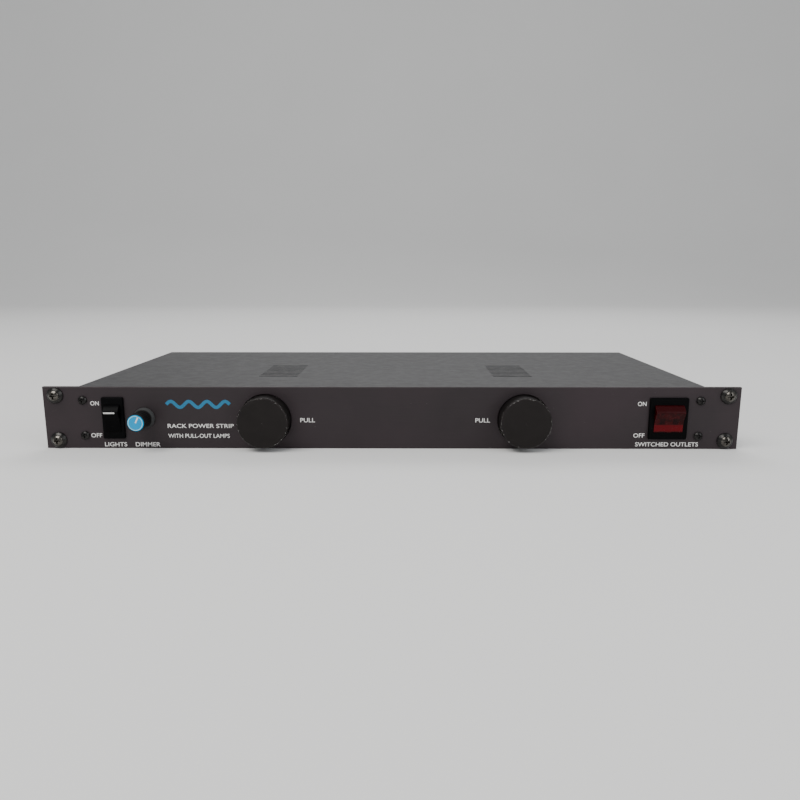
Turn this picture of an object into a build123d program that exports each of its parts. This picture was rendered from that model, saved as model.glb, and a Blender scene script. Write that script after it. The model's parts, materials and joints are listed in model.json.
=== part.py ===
"""One-unit 19-inch rack power strip with two pull-out lamp tubes, a dimmer and eight rear outlets.

Millimetres. The origin is the centre of the mounting plane, the rear face of the rack ears.
+X runs to the right seen from the front, +Y runs back into the rack and +Z is up.
"""

import os
from math import cos, radians, sin

from build123d import *

# ---- driving dimensions -------------------------------------------------------------------------
PANEL_W = 482.6
PANEL_H = 43.66
PANEL_T = 3.175
FACE_Y = -PANEL_T
GROUND_Z = -PANEL_H / 2

RACK_HOLE_X = 465.1 / 2
RACK_HOLE_Z = 31.75 / 2
RACK_SLOT_L = 10.3
RACK_SLOT_W = 7.14
RACK_WASHER_H = 2.2

SHEET = 1.2
CHASSIS_HALF_W = 219.5
CHASSIS_D = 199.0
FLOOR_Z = -19.8
WALL_TOP_Z = 19.7
BEND_R = 2.0
COVER_GAP = 0.1
COVER_SCREW_Y = (22.0, 100.0, 178.0)
COVER_SCREW_Z = 12.0
VENT_COUNT = 9
VENT_PITCH = 7.0

PANEL_SCREW_X = 213.7
PANEL_SCREW_Z = 12.5

TUBE_X = {"left": -87.2, "right": 91.9}
TUBE_Z = -1.1
TUBE_R = 17.45
TUBE_BORE_R = TUBE_R - 1.3
TUBE_FRONT_Y = FACE_Y - 13.0
TUBE_END_Y = 135.0
TUBE_TRAVEL = 100.0
CAP_T = 2.4
COLLAR_FRONT_Y = TUBE_END_Y + 0.1
GUIDE_END_Y = COLLAR_FRONT_Y - TUBE_TRAVEL - 0.5
GUIDE_HALF_W = 19.8
CRADLE_T = 1.0
CRADLE_HALF_W = GUIDE_HALF_W + 0.1 + CRADLE_T
CRADLE_END_Y = 150.0

LIGHTS_X = -193.0
POWER_X = 191.9
ROCKER_R = 11.1
ROCKER_EDGE_DEG = 41.7
ROCKER_TILT_DEG = 15.6
ROCKER_VALLEY_R = 6.8
PIVOT_Y = FACE_Y + 4.0
BEZEL_T = 1.8
BEZEL_HALF_H = 14.65
SEESAW_Y = 15.0
SEESAW_TILT_DEG = 8.0
LOAD_TAB_Z = -8.4
TAB_TIP_Y = 30.0

DIMMER_X = -171.5
KNOB_FRONT_Y = FACE_Y - 16.5
DIMMER_LUG_Z = -14.0

OUTLET_MODULE_X = (-168.0, -84.0, 0.0, 84.0)
OUTLET_PITCH = 41.0
OUTLET_FACE_Y = CHASSIS_D + 2.8
OUTLET_FRONT_T = 4.0
BLADE_HALF_GAP = 6.35
BLADE_Z = 4.5
GROUND_PIN_Z = BLADE_Z - 11.9
LINE_BUS_Z = 9.8
NEUTRAL_BUS_Z = 0.4
BUS_Y = 167.0
BUS_T = 0.8
BUS_END_X = 126.0

BREAKER_X = 152.0
BREAKER_BUSH_END_Y = CHASSIS_D + 7.0
BREAKER_TAB_Z = 9.0

CORD_X = 195.0
CORD_R = 4.7
CORD_START_Y = 186.0
CORD_PITCH = 10.0
COIL_RIGHT_X = CORD_X - 52.0
COIL_LEFT_X = -60.0
COIL_Y = 264.0
PLUG_AT = (-5.0, COIL_Y + 3.0, GROUND_Z + 12.3)
PLUG_L = 45.0

BOARD_X = (-58.0, 62.0)
BOARD_Y = (20.0, 130.0)
BOARD_Z = -14.8
BOARD_TOP = BOARD_Z + 1.6
CHOKE_AT = (-30.0, 50.0)
CHOKE_R = 15.0
CHOKE_SECTION_R = 5.2

STUD_AT = (172.0, 120.0)
WIRE_R = 1.6
THIN_WIRE_R = 1.0


# ---- geometry helpers ---------------------------------------------------------------------------
def slab(x, y, z):
    """A box between two coordinates on each axis."""
    size = [pair[1] - pair[0] for pair in (x, y, z)]
    centre = [(pair[0] + pair[1]) / 2 for pair in (x, y, z)]
    return Pos(*centre) * Box(*size)


def block(x, half_w, y, z):
    """A box centred on x, between two y and two z coordinates."""
    return slab((x - half_w, x + half_w), y, z)


def rod(radius, y, x=0.0, z=0.0):
    """A cylinder along Y."""
    return Pos(x, (y[0] + y[1]) / 2, z) * Rot(90, 0, 0) * Cylinder(radius, y[1] - y[0])


def cross_rod(radius, x, y, z):
    """A cylinder along X."""
    return Pos((x[0] + x[1]) / 2, y, z) * Rot(0, 90, 0) * Cylinder(radius, x[1] - x[0])


def post(radius, z, x, y):
    """A cylinder along Z."""
    return Pos(x, y, (z[0] + z[1]) / 2) * Cylinder(radius, z[1] - z[0])


def turned(outline, x=0.0, z=0.0):
    """Revolves a closed outline of (radius, y) points about the line along Y through x, z."""
    face = make_face(Polyline(*outline, close=True))
    return Pos(x, 0, z) * revolve(face, Axis.Y)


def plate(sketch, y, x=0.0, z=0.0):
    """Extrudes a sketch, drawn in X and Z, from y[0] to y[1]."""
    plane = Plane(origin=(x, y[0], z), x_dir=(1, 0, 0), z_dir=(0, -1, 0))
    return extrude(plane * sketch, amount=y[0] - y[1])


def cable(points, radius, bend):
    """A round wire through the points, with every corner bent to one radius."""
    path = FilletPolyline(*points, radius=bend)
    start = Plane(origin=path @ 0, z_dir=path % 0)
    return sweep(start * Circle(radius), path=path)


def group(parts):
    """Several separate solids in one node."""
    return Compound(children=list(parts))


def four_corners(x, z):
    return [(sx * x, sz * z) for sx in (-1, 1) for sz in (-1, 1)]


def cross_recess(head_r, head_h):
    """The four-armed driver recess, cut into a head whose top is at y = -head_h."""
    depth = (-head_h - 1.0, -head_h * 0.42)
    arm = head_r * 0.55
    slot = head_r * 0.12
    cut = slab((-arm, arm), depth, (-slot, slot)) + slab((-slot, slot), depth, (-arm, arm))
    taper = [(0, depth[0]), (arm * 0.62, depth[0]), (arm * 0.42, -head_h), (slot, depth[1]), (0, depth[1])]
    return cut + turned(taper)


def pan_screw(head_r, head_h, shank_r, length):
    """A cross-recess screw along +Y with the underside of its head at y = 0."""
    rim = head_h * 0.35
    shoulder = (head_r * 0.62, -(rim + (head_h - rim) * 0.80))
    outline = Polyline((0, -head_h), (0, length), (shank_r, length), (shank_r, 0), (head_r, 0), (head_r, -rim))
    outline += ThreePointArc((head_r, -rim), shoulder, (0, -head_h))
    return revolve(make_face(outline), Axis.Y) - cross_recess(head_r, head_h)


def hex_nut(across_corners_r, bore_r, y, x=0.0, z=0.0):
    """A hexagonal nut on the line along Y through x, z."""
    nut = plate(RegularPolygon(across_corners_r, 6), y, x, z)
    return nut - rod(bore_r, (y[0] - 1, y[1] + 1), x, z)


def washer(outer_r, inner_r, y, x=0.0, z=0.0):
    """A flat washer on the line along Y through x, z."""
    return rod(outer_r, y, x, z) - rod(inner_r, (y[0] - 1, y[1] + 1), x, z)


def spade(x, y, z):
    """A quick-connect tab lying flat, its tip at y[1]."""
    tab = block(x, 3.15, y, (z - 0.4, z + 0.4))
    return chamfer(tab.edges().filter_by(Axis.Z).sort_by(Axis.Y)[-2:], 1.0)


# ---- panel and fixings --------------------------------------------------------------------------
def front_panel():
    sheet = slab((-PANEL_W / 2, PANEL_W / 2), (FACE_Y, 0), (-PANEL_H / 2, PANEL_H / 2))
    sheet = chamfer(sheet.faces().sort_by(Axis.Y)[0].edges(), 0.35)
    through = (FACE_Y - 1, 1)
    for x, z in four_corners(RACK_HOLE_X, RACK_HOLE_Z):
        sheet -= plate(SlotOverall(RACK_SLOT_L, RACK_SLOT_W), through, x, z)
    for x, z in four_corners(PANEL_SCREW_X, PANEL_SCREW_Z):
        sheet -= rod(1.95, through, x, z)
    for x in TUBE_X.values():
        sheet -= chamfered_hole(x)
    sheet -= block(LIGHTS_X, 6.5, through, (-13.5, 13.5))
    sheet -= block(POWER_X, 11.1, through, (-13.5, 13.5))
    return sheet - rod(3.65, through, DIMMER_X, 0)


def chamfered_hole(x):
    """The opening for a lamp tube, chamfered at the face."""
    hole_r = TUBE_R + 0.35
    lip_r = hole_r + 0.4
    outline = [(0, FACE_Y - 1), (lip_r, FACE_Y - 1), (lip_r, FACE_Y), (hole_r, FACE_Y + 0.4), (hole_r, 1), (0, 1)]
    return turned(outline, x, TUBE_Z)


def panel_screws():
    screw = pan_screw(3.0, 2.1, 1.72, 8.0)
    return group(Pos(x, FACE_Y, z) * screw for x, z in four_corners(PANEL_SCREW_X, PANEL_SCREW_Z))


def rack_washers():
    """Cup washers: a flat foot, then a dished wall that seats a countersunk head."""
    rim_y = -RACK_WASHER_H
    outline = [(2.9, 0.0), (5.6, 0.0), (5.6, -0.7), (5.2, -1.2), (4.0, rim_y), (3.6, rim_y), (2.9, -0.9)]
    cup = turned(outline)
    return group(Pos(x, FACE_Y, z) * cup for x, z in four_corners(RACK_HOLE_X, RACK_HOLE_Z))


def rack_screws():
    """Oval-head screws: a dome over a countersink, a plain neck, and thread behind the ear."""
    seat_y = -RACK_WASHER_H
    top_y = seat_y - 1.8
    end_y = PANEL_T + 12.0
    outline = Polyline(
        (0, top_y),
        (0, end_y),
        (1.9, end_y),
        (2.41, end_y - 0.6),
        (2.41, PANEL_T),
        (2.0, PANEL_T),
        (2.0, -0.1),
        (3.5, seat_y),
        (3.5, seat_y - 0.3),
    )
    outline += ThreePointArc((3.5, seat_y - 0.3), (2.05, seat_y - 1.35), (0, top_y))
    screw = revolve(make_face(outline), Axis.Y) - cross_recess(4.2, -top_y)
    return group(Pos(x, FACE_Y, z) * screw for x, z in four_corners(RACK_HOLE_X, RACK_HOLE_Z))


# ---- chassis and cover --------------------------------------------------------------------------
def bent_box(x_half, y, z, radius):
    """A box with its two lower side edges and its lower rear edge rounded like bends."""
    body = slab((-x_half, x_half), y, z)
    low = body.edges().group_by(Axis.Z)[0]
    return fillet(low.filter_by(Axis.Y) + low.filter_by(Axis.X).sort_by(Axis.Y)[-1:], radius)


def chassis():
    inside_w = CHASSIS_HALF_W - SHEET
    tray = bent_box(CHASSIS_HALF_W, (0, CHASSIS_D), (FLOOR_Z - SHEET, WALL_TOP_Z), BEND_R)
    tray -= bent_box(inside_w, (-5, CHASSIS_D - SHEET), (FLOOR_Z, WALL_TOP_Z + 5), BEND_R - SHEET)
    for side in (-1, 1):
        tray += slab(sorted((side * 206.0, side * (inside_w + 0.2))), (0, SHEET), (FLOOR_Z - 0.2, WALL_TOP_Z))
    for x, z in four_corners(PANEL_SCREW_X, PANEL_SCREW_Z):
        tray -= rod(1.8, (-1, SHEET + 1), x, z)
    for y in COVER_SCREW_Y:
        tray -= cross_rod(1.8, (-CHASSIS_HALF_W - 1, CHASSIS_HALF_W + 1), y, COVER_SCREW_Z)
    return tray - rear_wall_holes() - floor_holes()


def rear_wall_holes():
    wall = (CHASSIS_D - SHEET - 1, CHASSIS_D + 1)
    holes = [block(x, 38.7, wall, (-13.4, 13.4)) for x in OUTLET_MODULE_X]
    return holes + [rod(4.85, wall, BREAKER_X, 0), rod(11.0, wall, CORD_X, 0)]


def floor_holes():
    through = (FLOOR_Z - SHEET - 1, FLOOR_Z + 1)
    holes = [countersink(x, y, 0.1) for x, y in rivet_points()]
    holes += [post(1.6, through, x, y) for x, y in standoff_points()]
    return holes + [post(2.9, through, *STUD_AT)]


def countersink(x, y, gap=0.0):
    """The flush conical head of a floor rivet, grown by a gap for its hole."""
    low_r, high_r = 2.5 + gap, 1.6 + gap
    return Pos(x, y, FLOOR_Z - SHEET / 2) * Cone(low_r, high_r, SHEET)


def top_cover():
    """Lid with side lips outside the chassis walls and a short rear lip."""
    hollow_x = CHASSIS_HALF_W + COVER_GAP
    out_x = hollow_x + SHEET
    front_y, back_y = 0.1, CHASSIS_D + COVER_GAP + SHEET
    under_z = WALL_TOP_Z + COVER_GAP
    shell = slab((-out_x, out_x), (front_y, back_y), (5.0, under_z + SHEET))
    shell = fillet(shell.edges().group_by(Axis.Z)[-1].filter_by(Axis.Y), BEND_R)
    shell -= slab((-hollow_x, hollow_x), (front_y - 1, back_y - SHEET), (0, under_z))
    shell -= slab((-out_x - 1, out_x + 1), (CHASSIS_D, back_y + 1), (0, 16.8))
    for y in COVER_SCREW_Y:
        shell -= cross_rod(1.95, (-out_x - 1, out_x + 1), y, COVER_SCREW_Z)
    first_y = 78.0 - (VENT_COUNT - 1) / 2 * VENT_PITCH
    for x in TUBE_X.values():
        for i in range(VENT_COUNT):
            vent = extrude(SlotOverall(30, 2.6), amount=SHEET + 2)
            shell -= Pos(x, first_y + i * VENT_PITCH, under_z - 1) * vent
    return shell


def cover_screws():
    screw = pan_screw(3.4, 1.7, 1.72, 4.5)
    head_x = CHASSIS_HALF_W + COVER_GAP + SHEET
    return group(
        Pos(side * head_x, y, COVER_SCREW_Z) * Rot(0, 0, 90 * side) * screw
        for side in (-1, 1)
        for y in COVER_SCREW_Y
    )


def ground_stud():
    """Press-in earth stud, flush underneath, with a lock washer and nut over the ring terminal."""
    x, y = STUD_AT
    lug_top = FLOOR_Z + 1.1
    stud = post(2.0, (FLOOR_Z - SHEET, FLOOR_Z + 10.0), x, y) + post(2.8, (FLOOR_Z - SHEET, FLOOR_Z), x, y)
    bore = post(2.05, (FLOOR_Z, FLOOR_Z + 12), x, y)
    lock = post(3.8, (lug_top, lug_top + 0.5), x, y) - bore
    nut = Pos(x, y, lug_top + 0.6) * extrude(RegularPolygon(4.0, 6), amount=3.0) - bore
    return group([stud, lock, nut])


# ---- lamp tubes ---------------------------------------------------------------------------------
def rivet_points():
    return [(x + dx, y) for x in TUBE_X.values() for dx in (-14.5, 14.5) for y in (17.0, 146.0)]


def light_tube(x):
    """Sliding lamp housing with a lamp window along its underside and a snap groove inside."""
    y = (TUBE_FRONT_Y + CAP_T, TUBE_END_Y)
    tube = rod(TUBE_R, y, x, TUBE_Z) - rod(TUBE_BORE_R, (y[0] - 1, y[1] + 1), x, TUBE_Z)
    window = extrude(RectangleRounded(26, 76, 4), amount=-30)
    groove = washer(TUBE_BORE_R + 0.6, 10, (129.0, 131.4), x, TUBE_Z)
    return tube - groove - Pos(x, 50, TUBE_Z - 4) * window


def tube_cap(x):
    """End cap with a chamfered rim, a centre dimple and a spigot in the tube's mouth."""
    front, back = TUBE_FRONT_Y, TUBE_FRONT_Y + CAP_T
    spigot_r = TUBE_BORE_R - 0.05
    outline = [
        (0, front + 0.35),
        (0.7, front),
        (TUBE_R - 0.5, front),
        (TUBE_R, front + 0.5),
        (TUBE_R, back),
        (spigot_r, back),
        (spigot_r, back + 7),
        (spigot_r - 1.5, back + 7),
        (spigot_r - 1.5, back + 0.6),
        (0, back + 0.6),
    ]
    return turned(outline, x, TUBE_Z)


def lamp_holder(x):
    """Candelabra socket on a disc that fills the tube."""
    disc_r = TUBE_BORE_R - 0.1
    outline = [
        (0, 112.0),
        (6.3, 112.0),
        (6.3, 92.0),
        (9.5, 92.0),
        (9.5, 111.5),
        (disc_r, 111.5),
        (disc_r, 115.0),
        (9.5, 115.0),
        (8.9, 118.0),
        (0, 118.0),
    ]
    return turned(outline, x, TUBE_Z)


def lamp_base(x):
    """Brass screw shell, drawn as rounded ridges, narrowing to the centre contact."""
    first_y, pitch, ridges = 90.0, 2.4, 6
    end_y = first_y + ridges * pitch
    outline = Polyline((5.15, end_y - 1.0), (5.15, 86.0), (5.55, 86.0), (5.55, first_y))
    for i in range(ridges):
        y = first_y + i * pitch
        outline += ThreePointArc((5.55, y), (5.95, y + pitch / 2), (5.55, y + pitch))
    tip = [(5.55, end_y), (2.6, end_y + 3.0), (2.0, end_y + 4.2), (0, end_y + 4.4), (0, end_y + 1.2)]
    outline += Polyline(*tip, (5.15, end_y - 1.0))
    return Pos(x, 0, TUBE_Z) * revolve(make_face(outline), Axis.Y)


def lamp_glass(x):
    """Hollow night-light envelope: a rounded flame shape on a narrow neck."""
    wall = 0.8
    outline = envelope(0.0) + envelope(wall)
    outline += Polyline((5.0, 87.0), (5.0, 96.0), (5.0 - wall, 96.0), (5.0 - wall, 87.0))
    outline += Line((0, 47.0 + wall), (0, 47.0))
    return Pos(x, 0, TUBE_Z) * revolve(make_face(outline), Axis.Y)


def envelope(inset):
    """Half of the envelope's profile, moved in by an inset."""
    middle = [(8.2 - inset, 55.0 + inset / 2), (11.0 - inset, 67.0), (7.6 - inset, 80.0 - inset / 2)]
    return Spline((0, 47.0 + inset), *middle, (5.0 - inset, 87.0), tangents=((1, 0), (0, 1)))


def stop_collar(x):
    """Keyed slider that snaps into the tube's rear end and stops it at full travel."""
    back = COLLAR_FRONT_Y + 6.0
    bore_r = TUBE_BORE_R - 3.0
    fit_r = TUBE_BORE_R - 0.07
    bead_r = TUBE_BORE_R + 0.42
    body = block(x, GUIDE_HALF_W - 0.2, (COLLAR_FRONT_Y, back), (-18.6, 16.8))
    body = fillet(body.edges().filter_by(Axis.Y).group_by(Axis.Z)[-1], 9.0)
    spigot = [
        (bore_r, 126.5),
        (fit_r - 0.5, 126.5),
        (fit_r, 127.4),
        (fit_r, 129.2),
        (bead_r, 129.9),
        (bead_r, 130.6),
        (fit_r, 131.2),
        (fit_r, COLLAR_FRONT_Y + 0.5),
        (bore_r, COLLAR_FRONT_Y + 0.5),
    ]
    body += turned(spigot, x, TUBE_Z)
    body -= rod(bore_r, (120, back + 1), x, TUBE_Z)
    body -= block(x, 1.0, (126, 133.5), (TUBE_Z - 20, TUBE_Z + 20))
    return body - block(x, 20.0, (126, 133.5), (TUBE_Z - 1, TUBE_Z + 1))


def tube_cradles():
    """Sheet channels on the floor that carry the guides and steer the sliders."""
    parts = []
    for x in TUBE_X.values():
        channel = block(x, CRADLE_HALF_W, (1.5, CRADLE_END_Y), (FLOOR_Z, 8.0))
        channel -= block(x, CRADLE_HALF_W - CRADLE_T, (0, CRADLE_END_Y + 1), (FLOOR_Z + CRADLE_T, 9.0))
        channel -= [post(1.7, (FLOOR_Z - 1, FLOOR_Z + 3), *at) for at in rivet_points()]
        parts.append(channel)
    return group(parts)


def tube_guides():
    """Moulded bearing blocks behind the panel, open underneath."""
    parts = []
    low = FLOOR_Z + CRADLE_T + 0.05
    for x in TUBE_X.values():
        body = block(x, GUIDE_HALF_W, (0.3, GUIDE_END_Y), (low, 18.6))
        body = fillet(body.edges().filter_by(Axis.Y).group_by(Axis.Z)[-1], 6.0)
        body -= rod(TUBE_R + 0.1, (-1, GUIDE_END_Y + 1), x, TUBE_Z)
        body -= block(x, 10.5, (-1, GUIDE_END_Y + 1), (low - 1, -14.0))
        body -= [post(1.7, (low - 1, low + 3.2), *at) for at in rivet_points()]
        parts.append(body)
    return group(parts)


def cradle_rivets():
    """Flush-headed rivets through the floor: blind ones into the guides, domed ones at the rear."""
    parts = []
    for x, y in rivet_points():
        under_guide = y < GUIDE_END_Y
        top = FLOOR_Z + CRADLE_T + (3.0 if under_guide else 0.0)
        rivet = countersink(x, y) + post(1.6, (FLOOR_Z - 0.2, top), x, y)
        if not under_guide:
            rivet += post(2.8, (top, top + 0.9), x, y)
        parts.append(rivet)
    return group(parts)


def lamp_lead(x, side):
    """Flexible lead from the lamp holder, over the cradle wall, down to the circuit board."""
    over_x = x + 30.0 * side
    board_x = BOARD_X[0] + 12.0 if side > 0 else BOARD_X[1] - 12.0
    points = [
        (x, 118.1, TUBE_Z),
        (x, 148.0, TUBE_Z),
        (x, 156.0, 11.0),
        (over_x, 156.0, 11.0),
        (board_x, 142.0, 8.0),
        (board_x, 118.0, 8.0),
        (board_x, 118.0, BOARD_TOP + 0.05),
    ]
    return cable(points, 2.1, 4.5)


# ---- rocker switches ----------------------------------------------------------------------------
def arc_point(degrees, side=1):
    """A point on the rocker's end arcs, in its own Y, Z frame; 0 degrees points out of the panel."""
    return (-ROCKER_R * cos(radians(degrees)), side * ROCKER_R * sin(radians(degrees)))


def rocker_profile():
    """A shallow V face, end arcs about the pivot, and a stem towards the contacts."""
    valley = (-ROCKER_VALLEY_R, 0)
    top = [arc_point(angle) for angle in (ROCKER_EDGE_DEG, 75, 100)]
    low = [arc_point(angle, -1) for angle in (100, 75, ROCKER_EDGE_DEG)]
    back_y = top[2][0]
    outline = Polyline(low[2], valley, top[0]) + ThreePointArc(*top) + ThreePointArc(*low)
    outline += Polyline(top[2], (back_y, 3.0), (8.5, 2.2), (8.5, -2.2), (back_y, -3.0), low[0])
    return Plane.YZ * make_face(outline)


def rocker(x, half_w):
    """A rocker in its off position, with the upper edge proud and the lower edge at the bezel."""
    body = extrude(rocker_profile(), amount=half_w, both=True)
    front = body.edges().filter_by(Axis.X).sort_by(Axis.Y)
    body = fillet(front[:2], 0.6)
    body = fillet(body.edges().filter_by(Axis.X).sort_by(lambda edge: abs(edge.center().Z))[0], 3.0)
    body += cross_rod(1.45, (-half_w - 0.75, half_w + 0.75), 0, 0)
    body += rod(1.2, (8.0, 12.2)) + Pos(0, 12.2, 0) * Sphere(1.2)
    return Pos(x, PIVOT_Y, 0) * Rot(ROCKER_TILT_DEG, 0, 0) * body


def pole_offsets(half_opening):
    """One pole in a narrow switch, two side by side in a wide one."""
    return (0.0,) if half_opening < 7 else (-5.0, 5.0)


def switch_housing(x, half_opening, half_body, half_bezel):
    """Snap-in switch body with a raised bezel round the rocker and snap wings behind the panel."""
    bezel = block(x, half_bezel, (FACE_Y - BEZEL_T, FACE_Y), (-BEZEL_HALF_H, BEZEL_HALF_H))
    bezel = fillet(bezel.edges().filter_by(Axis.Y), 1.0)
    bezel = fillet(bezel.faces().sort_by(Axis.Y)[0].edges(), 0.6)
    body = bezel + block(x, half_body, (FACE_Y, 21.0), (-13.3, 13.3))
    body += block(x, 2.5, (0.3, 7.0), (-14.0, 14.0))
    inner = half_opening + 0.15
    cavity_r = ROCKER_R + 0.15
    body -= cross_rod(cavity_r, (x - inner, x + inner), PIVOT_Y, 0)
    body -= block(x, inner, (PIVOT_Y, 19.0), (-cavity_r, cavity_r))
    body -= cross_rod(1.5, (x - half_opening - 0.85, x + half_opening + 0.85), PIVOT_Y, 0)
    for offset in pole_offsets(half_opening):
        for z in (0.0, LOAD_TAB_Z):
            body -= block(x + offset, 3.25, (18, 22), (z - 0.5, z + 0.5))
    return body


def contact_blade(x):
    """Seesaw blade in its off position: a pivot bead and a contact rivet at its lower end."""
    blade = slab((-2.4, 2.4), (-0.4, 0.4), (-8.6, 6.5)) + rod(1.5, (0.4, 1.1), 0, -7.2)
    blade += cross_rod(0.7, (-2.4, 2.4), 0, 0)
    return Pos(x, SEESAW_Y, 0) * Rot(-SEESAW_TILT_DEG, 0, 0) * blade


def switch_terminals():
    """Common and load tabs of both switches, one pair to each pole."""
    parts = []
    poles = [LIGHTS_X] + [POWER_X + offset for offset in pole_offsets(9.9)]
    for x in poles:
        common = spade(x, (19.2, TAB_TIP_Y), 0.0) + block(x, 2.2, (SEESAW_Y + 1.0, 19.4), (-0.4, 0.4))
        tab_z = (LOAD_TAB_Z - 0.4, LOAD_TAB_Z + 0.4)
        load = spade(x, (19.2, TAB_TIP_Y), LOAD_TAB_Z) + block(x, 2.2, (17.6, 19.4), tab_z)
        load += rod(1.5, (17.4, 18.0), x, LOAD_TAB_Z + 1.2)
        parts += [common, load]
    return group(parts)


def power_neon_lamp():
    """Indicator lamp lying across the power switch behind its rocker."""
    glass = cross_rod(1.9, (POWER_X - 5.0, POWER_X + 5.0), 9.2, 7.8)
    return fillet(glass.edges().filter_by(GeomType.CIRCLE), 1.2)


# ---- dimmer -------------------------------------------------------------------------------------
def dimmer_pot():
    """Potentiometer can, its threaded bushing through the panel, and three solder lugs."""
    can = [(3.05, 1.0), (8.0, 1.0), (8.4, 1.6), (8.4, 10.8), (7.9, 11.2), (0, 11.2), (0, 10.0), (3.05, 10.0)]
    body = turned(can, DIMMER_X) + washer(3.5, 3.05, (FACE_Y - 4.0, 1.2), DIMMER_X)
    for offset in (-5.0, 0.0, 5.0):
        body += block(DIMMER_X + offset, 0.8, (3.0, 3.8), (DIMMER_LUG_Z, -6.5))
    return body


def dimmer_shaft():
    """Round shaft with a flat on the end that takes the knob."""
    shaft = rod(2.98, (FACE_Y - 13.0, 9.6), DIMMER_X)
    return shaft - block(DIMMER_X, 4.0, (FACE_Y - 14.0, FACE_Y - 4.6), (1.6, 4.0))


def dimmer_nut():
    """Nut over a plain washer on the face of the panel."""
    nut = hex_nut(5.77, 3.56, (FACE_Y - 2.6, FACE_Y - 0.55), DIMMER_X)
    return group([nut, washer(6.0, 3.75, (FACE_Y - 0.5, FACE_Y), DIMMER_X)])


def dimmer_knob():
    """Skirted knob, fluted round its barrel and hollow behind to clear the nut."""
    outline = [
        (0, KNOB_FRONT_Y + 1.4),
        (5.55, KNOB_FRONT_Y + 1.4),
        (5.55, KNOB_FRONT_Y),
        (5.95, KNOB_FRONT_Y),
        (6.05, KNOB_FRONT_Y + 0.3),
        (6.15, FACE_Y - 4.2),
        (7.2, FACE_Y - 1.8),
        (7.4, FACE_Y - 1.2),
        (7.4, FACE_Y - 0.6),
        (6.4, FACE_Y - 0.6),
        (5.95, FACE_Y - 2.8),
        (5.2, FACE_Y - 4.4),
        (3.05, FACE_Y - 4.4),
        (3.05, FACE_Y - 13.2),
        (0, FACE_Y - 13.2),
    ]
    knob = turned(outline)
    count = 24
    flute = rod(0.45, (KNOB_FRONT_Y - 1, FACE_Y - 4.6), 6.4)
    knob -= [Rot(0, i * 360 / count, 0) * flute for i in range(count)]
    knob += block(0, 2.5, (FACE_Y - 13.3, FACE_Y - 4.7), (1.68, 3.3))
    return Pos(DIMMER_X, 0, 0) * knob


def dimmer_cap():
    """Insert that fills the recess in the knob's face."""
    base_y = KNOB_FRONT_Y + 1.35
    front_y = FACE_Y - 17.2
    return turned([(0, front_y), (5.0, front_y), (5.5, front_y + 0.4), (5.5, base_y), (0, base_y)], DIMMER_X)


# ---- outlets ------------------------------------------------------------------------------------
def outlet_centres(x):
    return (x - OUTLET_PITCH / 2, x + OUTLET_PITCH / 2)


def all_outlet_centres():
    return [centre for x in OUTLET_MODULE_X for centre in outlet_centres(x)]


def outlet_module(x):
    """Snap-in duplex receptacle: bezel, two raised faces, contact pockets open at the back."""
    bezel = block(x, 40.0, (CHASSIS_D, CHASSIS_D + 2.0), (-14.8, 14.8))
    bezel = fillet(bezel.edges().filter_by(Axis.Y), 2.0)
    bezel = chamfer(bezel.faces().sort_by(Axis.Y)[-1].edges(), 0.5)
    body = bezel + block(x, 38.5, (172.0, CHASSIS_D + 0.5), (-13.2, 13.2))
    for centre in outlet_centres(x):
        face = rod(16.6, (CHASSIS_D + 1.5, OUTLET_FACE_Y), centre)
        face &= block(centre, 20, (CHASSIS_D, OUTLET_FACE_Y + 1), (-12.6, 12.6))
        body += chamfer(face.faces().sort_by(Axis.Y)[-1].edges(), 0.3)
    return body - [cut for centre in outlet_centres(x) for cut in outlet_cuts(centre)]


def outlet_cuts(centre):
    """Blade slots, the round-topped ground opening, and the contact pockets behind them."""
    front = (OUTLET_FACE_Y - OUTLET_FRONT_T - 1, OUTLET_FACE_Y + 1)
    pocket = (171.0, OUTLET_FACE_Y - OUTLET_FRONT_T)
    line_x, neutral_x = centre - BLADE_HALF_GAP, centre + BLADE_HALF_GAP
    return [
        block(neutral_x, 1.2, front, (BLADE_Z - 4.35, BLADE_Z + 4.35)),
        block(line_x, 1.2, front, (BLADE_Z - 3.55, BLADE_Z + 3.55)),
        rod(2.6, front, centre, GROUND_PIN_Z) + block(centre, 2.6, front, (GROUND_PIN_Z - 1.9, GROUND_PIN_Z)),
        block(line_x, 3.0, pocket, (BLADE_Z - 4.6, 12.2)),
        block(neutral_x, 3.0, pocket, (-1.8, BLADE_Z + 4.6)),
        block(centre, 3.9, pocket, (GROUND_PIN_Z - 3.9, GROUND_PIN_Z + 3.9)),
    ]


def blade_clip(x, tail_z):
    """Two leaves that grip a plug blade, with a tail back to their bus bar."""
    grip_z = (BLADE_Z - 3.4, BLADE_Z + 3.4)
    web_z = (min(grip_z[0], tail_z - 1.2), max(grip_z[1], tail_z + 1.2))
    leaves = slab((x - 1.5, x - 0.9), (178.0, 196.0), grip_z) + slab((x + 0.9, x + 1.5), (178.0, 196.0), grip_z)
    web = block(x, 1.5, (177.4, 178.1), web_z)
    return leaves + web + block(x, 1.2, (BUS_Y, 177.5), (tail_z - 1.2, tail_z + 1.2))


def ground_sleeve(x):
    """A split sleeve that grips the ground pin, with a tail back to its bus bar."""
    sleeve = washer(3.1, 2.5, (178.0, 194.0), x, GROUND_PIN_Z)
    sleeve -= block(x, 0.5, (177, 195), (GROUND_PIN_Z, GROUND_PIN_Z + 5))
    sleeve += rod(3.1, (177.2, 178.05), x, GROUND_PIN_Z)
    return sleeve + block(x, 1.2, (BUS_Y, 177.4), (GROUND_PIN_Z - 1.2, GROUND_PIN_Z + 1.2))


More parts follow.
